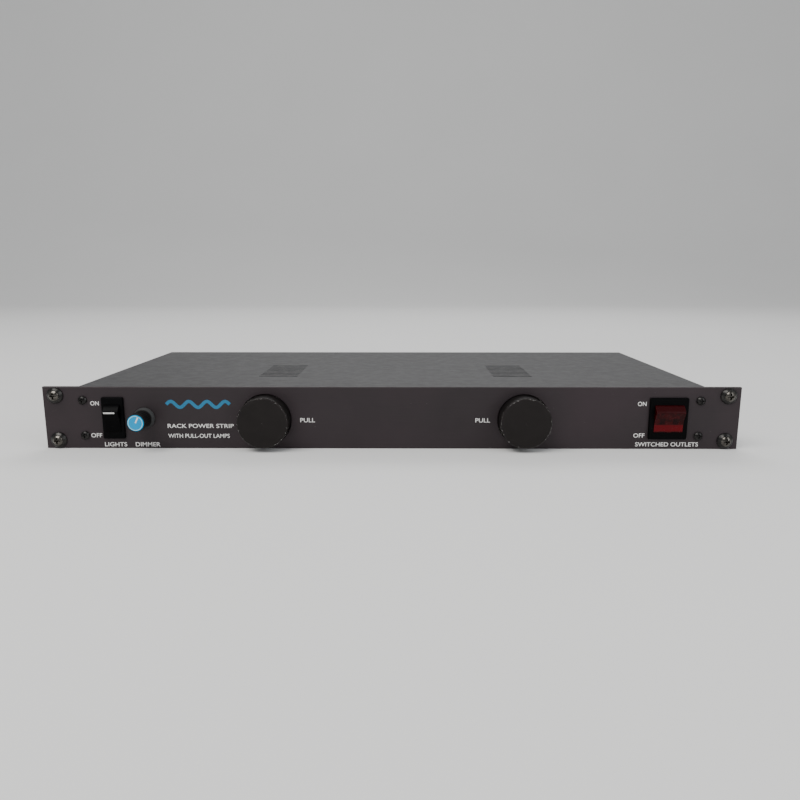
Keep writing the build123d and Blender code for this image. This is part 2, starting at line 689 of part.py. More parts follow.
def bus_bar(z, contacts):
    """A flat strip behind all the outlets with its contacts on it."""
    first_x = all_outlet_centres()[0] - 12.0
    return slab((first_x, BUS_END_X), (BUS_Y, BUS_Y + BUS_T), (z - 1.5, z + 1.5)) + contacts


def line_bus():
    return bus_bar(LINE_BUS_Z, [blade_clip(x - BLADE_HALF_GAP, LINE_BUS_Z) for x in all_outlet_centres()])


def neutral_bus():
    return bus_bar(NEUTRAL_BUS_Z, [blade_clip(x + BLADE_HALF_GAP, NEUTRAL_BUS_Z) for x in all_outlet_centres()])


def ground_bus():
    return bus_bar(GROUND_PIN_Z, [ground_sleeve(x) for x in all_outlet_centres()])


# ---- circuit breaker ----------------------------------------------------------------------------
def breaker_body():
    """Push-to-reset thermal breaker: case, hollow threaded bushing and two tabs."""
    inner_wall_y = CHASSIS_D - SHEET
    case = block(BREAKER_X, 7.0, (168.0, inner_wall_y - 0.1), (-15.0, 15.0))
    case = fillet(case.edges().filter_by(Axis.X), 1.0)
    case += rod(4.7, (inner_wall_y - 1, BREAKER_BUSH_END_Y), BREAKER_X)
    case -= rod(3.1, (185.0, BREAKER_BUSH_END_Y + 1), BREAKER_X)
    for z in (-BREAKER_TAB_Z, BREAKER_TAB_Z):
        tab = block(BREAKER_X, 0.4, (158.0, 168.5), (z - 3.15, z + 3.15))
        case += chamfer(tab.edges().filter_by(Axis.X).sort_by(Axis.Y)[:2], 1.0)
    return case


def breaker_button():
    """Reset button, domed at its outer end."""
    button = rod(3.02, (191.0, BREAKER_BUSH_END_Y + 3.0), BREAKER_X)
    return fillet(button.faces().sort_by(Axis.Y)[-1].edges(), 0.9)


def breaker_nut():
    return hex_nut(8.1, 4.76, (CHASSIS_D, CHASSIS_D + 2.6), BREAKER_X)


# ---- power cord ---------------------------------------------------------------------------------
def cord_strain_relief():
    """Nylon bushing that grips the cord in the rear wall."""
    bore_r = CORD_R + 0.12
    inner_wall_y = CHASSIS_D - SHEET - 0.1
    outline = [
        (bore_r, 190.0),
        (9.6, 190.0),
        (12.0, 193.0),
        (12.0, inner_wall_y),
        (10.9, inner_wall_y),
        (10.9, CHASSIS_D + 0.05),
        (13.6, CHASSIS_D + 0.05),
        (13.6, CHASSIS_D + 3.0),
        (12.0, CHASSIS_D + 5.0),
        (7.5, CHASSIS_D + 7.0),
        (bore_r, CHASSIS_D + 7.0),
    ]
    return turned(outline, CORD_X)


def coil_path():
    """Flat inward turns, drawn in X and Y: half circles about two centres joined by straights."""
    left_y = COIL_Y + CORD_PITCH / 2
    radius = CORD_X - COIL_RIGHT_X
    path = [CenterArc((COIL_RIGHT_X, COIL_Y), radius, 0, 90)]
    for turn in range(3):
        back_y = COIL_Y + radius
        path.append(Line((COIL_RIGHT_X, back_y), (COIL_LEFT_X, back_y)))
        radius -= CORD_PITCH / 2
        path.append(CenterArc((COIL_LEFT_X, left_y), radius, 90, 180))
        if turn < 2:
            front_y = left_y - radius
            path.append(Line((COIL_LEFT_X, front_y), (COIL_RIGHT_X, front_y)))
            radius -= CORD_PITCH / 2
            path.append(CenterArc((COIL_RIGHT_X, COIL_Y), radius, -90, 180))
    return path


def cord_path():
    """Straight out of the rear wall, an S down to the floor, the coil, then up into the plug."""
    lie_z = GROUND_Z + CORD_R + 0.03
    leave = Vector(CORD_X, CHASSIS_D + 9.0, 0)
    land = Vector(CORD_X, leave.Y + 42.0, lie_z)
    middle = (leave + land) / 2
    level = (0, 1, 0)
    coil = [Pos(0, 0, lie_z) * part for part in coil_path()]
    path = [
        Line((CORD_X, CORD_START_Y, 0), leave),
        TangentArc(leave, middle, tangent=level),
        TangentArc(land, middle, tangent=(0, -1, 0)),
        Line(land, (CORD_X, COIL_Y, lie_z)),
        *coil,
    ]
    path.append(Spline(coil[-1] @ 1, PLUG_AT, tangents=((1, 0, 0), (1, 0, 0))))
    return Wire([edge for part in path for edge in part.edges()])


def power_cord():
    """Jacketed cord with its moulded plug, coiled flat behind the unit."""
    path = cord_path()
    start = Plane(origin=(CORD_X, CORD_START_Y, 0), z_dir=(0, 1, 0))
    return sweep(start * Circle(CORD_R), path=path) + Pos(*PLUG_AT) * plug()


def plug():
    """Moulded plug body: the cord enters at the origin and the blades leave along +X."""
    body = slab((16, PLUG_L - 1), (-12.5, 12.5), (-11, 11))
    body = fillet(body.edges().filter_by(Axis.X), 8.0)
    flange = slab((PLUG_L - 4, PLUG_L), (-13.5, 13.5), (-12, 12))
    flange = fillet(flange.edges().filter_by(Axis.X), 9.0)
    nose = Pos(8.5, 0, 0) * Rot(0, 90, 0) * Cone(5.6, 9.0, 17.0)
    ribs = [cross_rod(6.6 + 0.75 * i, (1.0 + 4.0 * i, 3.0 + 4.0 * i), 0, 0) for i in range(4)]
    return body + flange + nose + ribs


def plug_blades():
    """Two flat blades and the round ground pin, standing off the plug's face."""
    face_x = PLUG_L + 0.05
    blade_y = 3.9
    parts = []
    for z in (-BLADE_HALF_GAP, BLADE_HALF_GAP):
        blade = slab((face_x, face_x + 17.0), (blade_y - 3.15, blade_y + 3.15), (z - 0.75, z + 0.75))
        parts.append(chamfer(blade.edges().filter_by(Axis.Z).sort_by(Axis.X)[-2:], 1.2))
    pin = cross_rod(2.38, (face_x, face_x + 19.0), blade_y - 11.9, 0)
    parts.append(fillet(pin.edges().filter_by(GeomType.CIRCLE).sort_by(Axis.X)[-1], 1.6))
    return group(Pos(*PLUG_AT) * part for part in parts)


# ---- circuit board ------------------------------------------------------------------------------
def standoff_points():
    xs = (BOARD_X[0] + 6.0, BOARD_X[1] - 6.0)
    ys = (BOARD_Y[0] + 6.0, BOARD_Y[1] - 6.0)
    return [(x, y) for x in xs for y in ys]


def circuit_board():
    board = slab(BOARD_X, BOARD_Y, (BOARD_Z, BOARD_TOP))
    board = fillet(board.edges().filter_by(Axis.Z), 2.0)
    return board - [post(1.75, (BOARD_Z - 1, BOARD_TOP + 1), *at) for at in standoff_points()]


def board_standoffs():
    """Press-in hex spacers on the floor, each with a pan-head screw down through the board."""
    parts = []
    for x, y in standoff_points():
        spacer = Pos(x, y, FLOOR_Z) * extrude(RegularPolygon(3.4, 6), amount=BOARD_Z - FLOOR_Z)
        spacer += post(1.5, (FLOOR_Z - SHEET, FLOOR_Z + 0.2), x, y)
        spacer -= post(1.3, (FLOOR_Z + 1.0, BOARD_Z + 1), x, y)
        screw = Pos(x, y, BOARD_TOP) * Rot(-90, 0, 0) * pan_screw(2.8, 1.9, 1.25, 4.5)
        parts += [spacer, screw]
    return group(parts)


def filter_choke():
    """Toroid core with two windings of separate turns."""
    seat = Pos(*CHOKE_AT, BOARD_TOP + CHOKE_SECTION_R + 2.0)
    turn = Pos(CHOKE_R, 0, 0) * Rot(90, 0, 0) * Torus(CHOKE_SECTION_R + 0.95, 0.75)
    angles = [half + 38 + i * 13.0 for half in (0, 180) for i in range(9)]
    return group([seat * Torus(CHOKE_R, CHOKE_SECTION_R)] + [seat * Rot(0, 0, a) * turn for a in angles])


def filter_capacitors():
    """Two boxed film capacitors and two cans."""
    parts = []
    for y in (38.0, 58.0):
        body = slab((1.0, 29.0), (y - 6.0, y + 6.0), (BOARD_TOP + 0.4, BOARD_TOP + 20.0))
        parts.append(fillet(body.edges(), 0.8))
    for y in (40.0, 58.0):
        can = post(6.3, (BOARD_TOP + 0.4, BOARD_TOP + 20.0), 47.0, y)
        parts.append(fillet(can.edges().filter_by(GeomType.CIRCLE), 0.8))
    return group(parts)


def surge_varistors():
    """Coated discs standing on two leads each."""
    parts = []
    centre_z = BOARD_TOP + 12.5
    for x in (-24.0, 0.0, 24.0):
        disc = fillet(rod(9.0, (87.7, 92.3), x, centre_z).edges().filter_by(GeomType.CIRCLE), 1.6)
        for offset in (-3.75, 3.75):
            disc += post(0.45, (BOARD_TOP + 0.05, centre_z), x + offset, 90.0)
        parts.append(disc)
    return group(parts)


# ---- wiring -------------------------------------------------------------------------------------
def bus_jumper(x, bus_z):
    """A short wire from a bus bar down to the rear of the circuit board."""
    points = [(x, BUS_Y - 0.05, bus_z), (x, 122.0, bus_z), (x, 122.0, BOARD_TOP + 0.05)]
    return cable(points, THIN_WIRE_R, 3.0)


def line_wiring():
    """Cord to breaker, breaker to switch, switch to line bus, and the circuit board's feed."""
    cord_x, pole_x = CORD_X - 1.9, POWER_X - 5.0
    start_y = CORD_START_Y - 0.2
    tab_y, breaker_y = TAB_TIP_Y + 0.1, 157.9
    to_breaker = [
        (cord_x, start_y, 1.2),
        (cord_x, 172.0, 1.2),
        (cord_x, 146.0, BREAKER_TAB_Z),
        (BREAKER_X, 146.0, BREAKER_TAB_Z),
        (BREAKER_X, breaker_y, BREAKER_TAB_Z),
    ]
    to_switch = [
        (BREAKER_X, breaker_y, -BREAKER_TAB_Z),
        (BREAKER_X, 140.0, -BREAKER_TAB_Z),
        (pole_x, 100.0, 0.0),
        (pole_x, tab_y, 0.0),
    ]
    to_bus = [
        (pole_x, tab_y, LOAD_TAB_Z),
        (pole_x, 60.0, LOAD_TAB_Z),
        (138.0, 90.0, LOAD_TAB_Z),
        (134.0, 140.0, LINE_BUS_Z),
        (134.0, BUS_Y + 0.4, LINE_BUS_Z),
        (BUS_END_X + 0.1, BUS_Y + 0.4, LINE_BUS_Z),
    ]
    wires = [cable(path, WIRE_R, 3.0) for path in (to_breaker, to_switch, to_bus)]
    return group([*wires, bus_jumper(10.0, LINE_BUS_Z)])


def neutral_wiring():
    """Cord to switch, switch to neutral bus, and the circuit board's return."""
    cord_x, pole_x = CORD_X + 1.9, POWER_X + 5.0
    to_switch = [
        (cord_x, CORD_START_Y - 0.2, 1.2),
        (cord_x, 160.0, 1.2),
        (pole_x + 8.0, 120.0, 3.0),
        (pole_x, 60.0, 0.0),
        (pole_x, TAB_TIP_Y + 0.1, 0.0),
    ]
    to_bus = [
        (pole_x, TAB_TIP_Y + 0.1, LOAD_TAB_Z),
        (pole_x, 38.0, LOAD_TAB_Z),
        (pole_x, 44.0, LOAD_TAB_Z - 6.0),
        (pole_x, 49.0, LOAD_TAB_Z - 6.0),
        (130.0, 74.0, LOAD_TAB_Z - 6.0),
        (121.0, 140.0, NEUTRAL_BUS_Z),
        (121.0, BUS_Y - 0.05, NEUTRAL_BUS_Z),
    ]
    wires = [cable(path, WIRE_R, 3.0) for path in (to_switch, to_bus)]
    return group([*wires, bus_jumper(24.0, NEUTRAL_BUS_Z)])


def ground_wiring():
    """Ring terminal on the earth stud, with wires to the cord and to the ground bus."""
    x, y = STUD_AT
    ring = post(3.9, (FLOOR_Z + 0.05, FLOOR_Z + 1.0), x, y)
    ring += slab((x - 1.5, x + 1.5), (y, y + 8.0), (FLOOR_Z + 0.05, FLOOR_Z + 1.0))
    ring -= post(2.1, (FLOOR_Z - 1, FLOOR_Z + 2), x, y)
    to_cord = [
        (CORD_X, CORD_START_Y - 0.2, -2.2),
        (CORD_X, 172.0, -2.2),
        (CORD_X, 158.0, -16.0),
        (x + 1.8, 142.0, FLOOR_Z + 2.0),
        (x + 1.8, y + 8.2, FLOOR_Z + 2.0),
    ]
    to_bus = [
        (x - 1.8, y + 8.2, FLOOR_Z + 2.0),
        (x - 1.8, 136.0, FLOOR_Z + 2.0),
        (124.0, 140.0, FLOOR_Z + 3.0),
        (117.0, 154.0, GROUND_PIN_Z),
        (117.0, BUS_Y - 0.05, GROUND_PIN_Z),
    ]
    return group([ring] + [cable(path, WIRE_R, 3.0) for path in (to_cord, to_bus)])


def lights_wiring():
    """Thin wires from the lights switch and the dimmer, round the left cradle, to the board."""
    parts = []
    starts = [
        (LIGHTS_X, TAB_TIP_Y + 0.1, 0.0),
        (LIGHTS_X, TAB_TIP_Y + 0.1, LOAD_TAB_Z),
        (DIMMER_X - 5.0, 3.9, DIMMER_LUG_Z + 1.5),
        (DIMMER_X + 5.0, 3.9, DIMMER_LUG_Z + 1.5),
    ]
    for i, (x, y, z) in enumerate(starts):
        lane = 3.0 * i
        run_x, run_y = -150.0 + lane, 161.0 - lane
        points = [
            (x, y, z),
            (x, y + 12.0 + lane, z),
            (run_x, 60.0, -16.0),
            (run_x, run_y, -16.0),
            (-40.0 + lane, run_y, -16.0),
            (-40.0 + lane, 142.0, -9.0),
            (-40.0 + lane, 124.0, -9.0),
            (-40.0 + lane, 124.0, BOARD_TOP + 0.05),
        ]
        parts.append(cable(points, THIN_WIRE_R, 1.6))
    return group(parts)


# ---- nodes --------------------------------------------------------------------------------------
def frame_nodes():
    return {
        "front_panel": front_panel(),
        "panel_screws": panel_screws(),
        "rack_screws": rack_screws(),
        "rack_washers": rack_washers(),
        "chassis": chassis(),
        "top_cover": top_cover(),
        "cover_screws": cover_screws(),
        "ground_stud": ground_stud(),
        "tube_cradles": tube_cradles(),
        "tube_guides": tube_guides(),
        "cradle_rivets": cradle_rivets(),
    }


def lamp_nodes():
    made = {}
    for name, x in TUBE_X.items():
        made[f"{name}_light_tube"] = light_tube(x)
        made[f"{name}_tube_cap"] = tube_cap(x)
        made[f"{name}_lamp_holder"] = lamp_holder(x)
        made[f"{name}_lamp_base"] = lamp_base(x)
        made[f"{name}_lamp_glass"] = lamp_glass(x)
        made[f"{name}_stop_collar"] = stop_collar(x)
        made[f"{name}_lamp_lead"] = lamp_lead(x, 1 if x < 0 else -1)
    return made


def control_nodes():
    return {
        "lights_switch_housing": switch_housing(LIGHTS_X, 5.2, 6.4, 7.6),
        "lights_rocker": rocker(LIGHTS_X, 5.2),
        "lights_contact": contact_blade(LIGHTS_X),
        "power_switch_housing": switch_housing(POWER_X, 9.9, 11.0, 13.3),
        "power_rocker": rocker(POWER_X, 9.9),
        "power_contacts": group(contact_blade(POWER_X + offset) for offset in pole_offsets(9.9)),
        "power_neon_lamp": power_neon_lamp(),
        "switch_terminals": switch_terminals(),
        "dimmer_pot": dimmer_pot(),
        "dimmer_shaft": dimmer_shaft(),
        "dimmer_nut": dimmer_nut(),
        "dimmer_knob": dimmer_knob(),
        "dimmer_cap": dimmer_cap(),
    }


def power_nodes():
    made = {f"outlet_module_{i}": outlet_module(x) for i, x in enumerate(OUTLET_MODULE_X, start=1)}
    made["line_bus"] = line_bus()
    made["neutral_bus"] = neutral_bus()
    made["ground_bus"] = ground_bus()
    made["breaker_body"] = breaker_body()
    made["breaker_button"] = breaker_button()
    made["breaker_nut"] = breaker_nut()
    made["power_cord"] = power_cord()
    made["plug_blades"] = plug_blades()
    made["cord_strain_relief"] = cord_strain_relief()
    return made


def circuit_nodes():
    return {
        "circuit_board": circuit_board(),
        "board_standoffs": board_standoffs(),
        "filter_choke": filter_choke(),
        "filter_capacitors": filter_capacitors(),
        "surge_varistors": surge_varistors(),
        "line_wiring": line_wiring(),
        "neutral_wiring": neutral_wiring(),
        "ground_wiring": ground_wiring(),
        "lights_wiring": lights_wiring(),
    }


os.makedirs("parts", exist_ok=True)
for nodes in (frame_nodes(), lamp_nodes(), control_nodes(), power_nodes(), circuit_nodes()):
    for name, shape in nodes.items():
        export_step(shape, f"parts/{name}.step")
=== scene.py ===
"""Looks for the one-unit rack power strip: materials, legends, threads, light and camera."""

import json
from math import atan2, cos, pi, radians, sin, tau

import bmesh
import bpy
from mathutils import Matrix, Vector
from mathutils.bvhtree import BVHTree


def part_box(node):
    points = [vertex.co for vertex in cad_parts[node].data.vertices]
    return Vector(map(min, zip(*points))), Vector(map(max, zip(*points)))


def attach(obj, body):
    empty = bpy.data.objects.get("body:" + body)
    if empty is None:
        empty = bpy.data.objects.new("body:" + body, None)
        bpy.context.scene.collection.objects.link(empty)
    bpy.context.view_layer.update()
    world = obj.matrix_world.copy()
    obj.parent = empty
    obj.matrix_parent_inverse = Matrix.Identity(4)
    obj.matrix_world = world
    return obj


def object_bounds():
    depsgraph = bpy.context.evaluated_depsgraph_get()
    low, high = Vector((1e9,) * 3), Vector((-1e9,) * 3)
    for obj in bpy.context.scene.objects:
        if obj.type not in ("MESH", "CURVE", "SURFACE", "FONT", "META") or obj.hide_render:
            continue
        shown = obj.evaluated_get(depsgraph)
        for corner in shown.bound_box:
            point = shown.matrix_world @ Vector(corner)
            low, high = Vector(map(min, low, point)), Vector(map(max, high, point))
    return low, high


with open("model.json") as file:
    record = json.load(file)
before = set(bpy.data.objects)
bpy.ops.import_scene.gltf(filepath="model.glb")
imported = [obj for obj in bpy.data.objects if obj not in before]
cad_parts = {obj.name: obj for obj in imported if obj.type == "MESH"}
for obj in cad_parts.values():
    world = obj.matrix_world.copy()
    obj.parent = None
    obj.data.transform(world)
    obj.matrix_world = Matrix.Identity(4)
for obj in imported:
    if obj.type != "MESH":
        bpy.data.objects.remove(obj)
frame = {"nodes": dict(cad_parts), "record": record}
CAD_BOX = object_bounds()
MM = 0.001

# Printed ink is a thin solid that stands just clear of the surface that carries it.
INK_T = 0.03 * MM
INK_LIFT = 0.02 * MM
PANEL_TEXT_H = 3.0 * MM
TITLE_TEXT_H = 2.9 * MM
REAR_TEXT_H = 2.3 * MM

# Most of a noise texture's values lie in this range.
NOISE_SPREAD = (0.3, 0.7)


# ---- material nodes -----------------------------------------------------------------------------
class Surface:
    """One material and the few kinds of node that this scene builds them from."""

    def __init__(self, name, **values):
        self.material = bpy.data.materials.new(name)
        self.material.use_nodes = True
        self.nodes = self.material.node_tree.nodes
        self.links = self.material.node_tree.links
        self.shader = self.nodes["Principled BSDF"]
        self.place = self.nodes.new("ShaderNodeTexCoord").outputs["Object"]
        self.normal = None
        self.set(**values)

    def put(self, socket, value):
        """Links a node's output to a socket, or sets the socket to a plain value."""
        if isinstance(value, bpy.types.NodeSocket):
            self.links.new(value, socket)
        elif isinstance(value, tuple) and len(value) == 3 and socket.type == "RGBA":
            socket.default_value = (*value, 1.0)
        else:
            socket.default_value = value

    def set(self, **values):
        """Sets the shader's inputs; an underscore in a name stands for a space."""
        for name, value in values.items():
            self.put(self.shader.inputs[name.replace("_", " ")], value)
        return self

    def stretched(self, x=1.0, y=1.0, z=1.0):
        """Object coordinates with each axis scaled: a small scale draws features out along it."""
        node = self.nodes.new("ShaderNodeVectorMath")
        node.operation = "MULTIPLY"
        self.put(node.inputs[0], self.place)
        node.inputs[1].default_value = (x, y, z)
        return node.outputs[0]

    def noise(self, size_mm, detail=3.0, rough=0.5, at=None, distortion=0.0):
        node = self.nodes.new("ShaderNodeTexNoise")
        self.put(node.inputs["Vector"], at or self.place)
        node.inputs["Scale"].default_value = 1000.0 / size_mm
        node.inputs["Detail"].default_value = detail
        node.inputs["Roughness"].default_value = rough
        node.inputs["Distortion"].default_value = distortion
        return node.outputs["Fac"]

    def cells(self, size_mm, feature="F1", at=None):
        node = self.nodes.new("ShaderNodeTexVoronoi")
        node.feature = feature
        self.put(node.inputs["Vector"], at or self.place)
        node.inputs["Scale"].default_value = 1000.0 / size_mm
        return node.outputs["Distance"]

    def math(self, operation, first, second=0.0):
        node = self.nodes.new("ShaderNodeMath")
        node.operation = operation
        self.put(node.inputs[0], first)
        self.put(node.inputs[1], second)
        return node.outputs[0]

    def span(self, value, source, target=(0.0, 1.0)):
        """Maps a value from one range to another and clamps it."""
        node = self.nodes.new("ShaderNodeMapRange")
        self.put(node.inputs["Value"], value)
        for name, number in zip(("From Min", "From Max", "To Min", "To Max"), (*source, *target)):
            node.inputs[name].default_value = number
        return node.outputs["Result"]

    def mix(self, share, first, second):
        node = self.nodes.new("ShaderNodeMix")
        node.data_type = "RGBA"
        self.put(node.inputs["Factor"], share)
        self.put(node.inputs[6], first)
        self.put(node.inputs[7], second)
        return node.outputs[2]

    def bump(self, height, depth_mm, strength=1.0):
        """Adds a height to the surface; a later call lies on top of an earlier one."""
        node = self.nodes.new("ShaderNodeBump")
        node.inputs["Strength"].default_value = strength
        node.inputs["Distance"].default_value = depth_mm * MM
        self.put(node.inputs["Height"], height)
        if self.normal is not None:
            self.put(node.inputs["Normal"], self.normal)
        self.normal = node.outputs["Normal"]
        return self.set(Normal=self.normal)

    def soften(self, radius_mm):
        """Rounds hard edges in the shading, as tumbling or moulding does."""
        node = self.nodes.new("ShaderNodeBevel")
        node.samples = 4
        node.inputs["Radius"].default_value = radius_mm * MM
        self.normal = node.outputs["Normal"]
        return self.set(Normal=self.normal)

    def edges(self, radius_mm):
        """About 1 along worn edges and 0 on flat faces."""
        wide = self.nodes.new("ShaderNodeBevel")
        wide.samples = 4
        wide.inputs["Radius"].default_value = radius_mm * MM
        dot = self.nodes.new("ShaderNodeVectorMath")
        dot.operation = "DOT_PRODUCT"
        self.put(dot.inputs[0], wide.outputs["Normal"])
        self.put(dot.inputs[1], self.nodes.new("ShaderNodeNewGeometry").outputs["Normal"])
        return self.span(dot.outputs["Value"], (0.97, 0.80))

    def from_axis(self, x, z):
        """Distance in metres from the line along Y through x, z."""
        apart = self.nodes.new("ShaderNodeSeparateXYZ")
        self.put(apart.inputs[0], self.place)
        across = self.math("SUBTRACT", apart.outputs["X"], x)
        up = self.math("SUBTRACT", apart.outputs["Z"], z)
        square = self.math("ADD", self.math("MULTIPLY", across, across), self.math("MULTIPLY", up, up))
        return self.math("SQRT", square)

    def component(self, axis):
        apart = self.nodes.new("ShaderNodeSeparateXYZ")
        self.put(apart.inputs[0], self.place)
        return apart.outputs[axis]


# ---- metals -------------------------------------------------------------------------------------
def anodised_panel():
    """Black anodised plate, brushed lengthways before anodising, with faint handling marks."""
    s = Surface("black_anodised", Metallic=0.25, Specular_IOR_Level=0.3)
    s.soften(0.25)
    brush = s.noise(0.22, 5.0, 0.65, s.stretched(x=0.012, z=1.0))
    cloud = s.noise(90.0, 3.0, 0.5, distortion=0.6)
    grain = s.mix(brush, (0.020, 0.0155, 0.0172), (0.036, 0.0285, 0.0310))
    tone = s.mix(s.span(cloud, (0.35, 0.7), (0.0, 0.55)), grain, (0.043, 0.030, 0.035))
    speck = s.span(s.cells(7.0), (0.035, 0.02))
    tone = s.mix(s.math("MULTIPLY", speck, 0.5), tone, (0.16, 0.145, 0.14))
    tone = s.mix(s.math("MULTIPLY", s.edges(0.5), 0.25), tone, (0.22, 0.20, 0.20))
    s.set(Base_Color=tone)
    smudge = s.span(s.noise(26.0, 4.0, 0.6, distortion=1.2), (0.35, 0.7), (0.40, 0.54))
    s.set(Roughness=s.math("ADD", smudge, s.span(brush, NOISE_SPREAD, (-0.05, 0.06))))
    return s.bump(brush, 0.006)


def plated(name, low, high, rough, flecks):
    """A metal part: tone drift, fine tool marks and specks of tarnish."""
    s = Surface(name, Metallic=1.0)
    s.soften(0.12)
    drift = s.noise(3.0, 4.0, 0.6)
    tone = s.mix(s.span(drift, NOISE_SPREAD), low, high)
    pits = s.span(s.noise(0.35, 2.0, 0.5), (0.62, 0.72), (0.0, flecks))
    s.set(Base_Color=s.mix(pits, tone, (0.05, 0.045, 0.04)))
    s.set(Roughness=s.span(s.noise(0.9, 4.0, 0.7), NOISE_SPREAD, rough))
    return s.bump(s.noise(0.12, 2.0, 0.5), 0.004)


def zinc_sheet():
    """Bright zinc plate with broad rolled streaks and a faint warm and cool cast."""
    s = Surface("zinc_steel", Metallic=1.0)
    s.soften(0.2)
    cast = s.span(s.noise(28.0, 3.0, 0.5, distortion=0.8), (0.35, 0.65))
    tone = s.mix(cast, (0.50, 0.52, 0.56), (0.62, 0.60, 0.55))
    rolled = s.noise(0.5, 4.0, 0.6, s.stretched(y=0.03))
    tone = s.mix(s.span(rolled, (0.35, 0.75), (0.0, 0.5)), tone, (0.74, 0.74, 0.73))
    s.set(Base_Color=tone)
    s.set(Roughness=s.span(s.noise(6.0, 5.0, 0.65), NOISE_SPREAD, (0.26, 0.44)))
    return s.bump(rolled, 0.005)


def powder_coat():
    """Black powder coat with a fine orange-peel grain."""
    s = Surface("black_paint", Specular_IOR_Level=0.45)
    s.soften(0.4)
    tone = s.mix(s.noise(45.0, 3.0), (0.020, 0.020, 0.022), (0.026, 0.0255, 0.027))
    rubbed = s.math("MULTIPLY", s.edges(0.7), s.span(s.noise(5.0, 4.0), (0.45, 0.6)))
    s.set(Base_Color=s.mix(s.math("MULTIPLY", rubbed, 0.5), tone, (0.20, 0.20, 0.20)))
    s.set(Roughness=s.span(s.noise(6.0, 4.0, 0.6), NOISE_SPREAD, (0.46, 0.56)))
    s.bump(s.noise(0.9, 2.0, 0.4), 0.024)
    return s.bump(s.noise(0.25, 1.0, 0.4), 0.006)


def satin_tube():
    """Satin black enamel over turned metal, rubbed along its edges."""
    s = Surface("black_tube", Specular_IOR_Level=0.12)
    s.soften(0.15)
    tone = s.mix(s.noise(14.0, 4.0, 0.6), (0.0065, 0.0058, 0.0056), (0.0120, 0.0105, 0.0100))
    s.set(Base_Color=s.mix(s.math("MULTIPLY", s.edges(0.35), 0.35), tone, (0.25, 0.24, 0.23)))
    s.set(Roughness=s.span(s.noise(7.0, 4.0, 0.6), NOISE_SPREAD, (0.34, 0.46)))
    return s.bump(s.noise(0.3, 2.0, 0.4), 0.006)


def tube_cap_enamel(name, centre):
    """Satin black over a face turned on a lathe: faint rings, a worn rim and painted glints along it."""
    s = Surface(name, Specular_IOR_Level=0.15)
    s.soften(0.12)
    radius = s.from_axis(centre.x, centre.z)
    rings = s.math("SINE", s.math("MULTIPLY", radius, tau / (0.28 * MM)))
    uneven = s.math("MULTIPLY", rings, s.noise(2.0, 3.0, 0.6))
    tone = s.mix(s.noise(9.0, 4.0, 0.6), (0.0080, 0.0064, 0.0062), (0.0145, 0.0118, 0.0112))
    worn = s.math("MULTIPLY", s.edges(0.3), s.span(s.noise(3.0, 3.0), (0.42, 0.6), (0.25, 1.0)))
    tone = s.mix(s.math("MULTIPLY", worn, 0.45), tone, (0.30, 0.28, 0.27))
    rim = s.span(s.edges(0.35), (0.1, 0.4))
    # Painted glints: near-white spots along the rim.
    painted_rim_glints = s.math("MULTIPLY", rim, s.span(s.noise(1.6, 2.0), (0.58, 0.63)))
    s.set(Base_Color=s.mix(painted_rim_glints, tone, (0.78, 0.76, 0.74)))
    s.set(Roughness=s.span(s.noise(5.0, 5.0, 0.65, distortion=0.6), NOISE_SPREAD, (0.30, 0.44)))
    return s.bump(uneven, 0.0035)


def lamp_tube_coat(name, centre, bore_r):
    """The sliding tube: satin black outside and a white reflector coat inside its bore."""
    s = satin_tube()
    s.material.name = name
    inside = s.math("LESS_THAN", s.from_axis(centre.x, centre.z), bore_r + 0.25 * MM)
    black = s.shader.inputs["Base Color"].links[0].from_socket
    white = s.mix(s.noise(4.0, 3.0), (0.72, 0.71, 0.68), (0.82, 0.81, 0.78))
    return s.set(Base_Color=s.mix(inside, black, white))


# ---- plastics and rubber ------------------------------------------------------------------------
def moulded(name, low, high, rough, grain_mm, depth_mm, shine):
    """Moulded plastic or rubber: slight tone drift and a spark-eroded grain."""
    s = Surface(name, Specular_IOR_Level=shine)
    s.soften(0.2)
    s.set(Base_Color=s.mix(s.noise(11.0, 4.0, 0.6), low, high))
    s.set(Roughness=s.span(s.noise(4.0, 5.0, 0.65), NOISE_SPREAD, rough))
    return s.bump(s.noise(grain_mm, 2.0, 0.45), depth_mm)


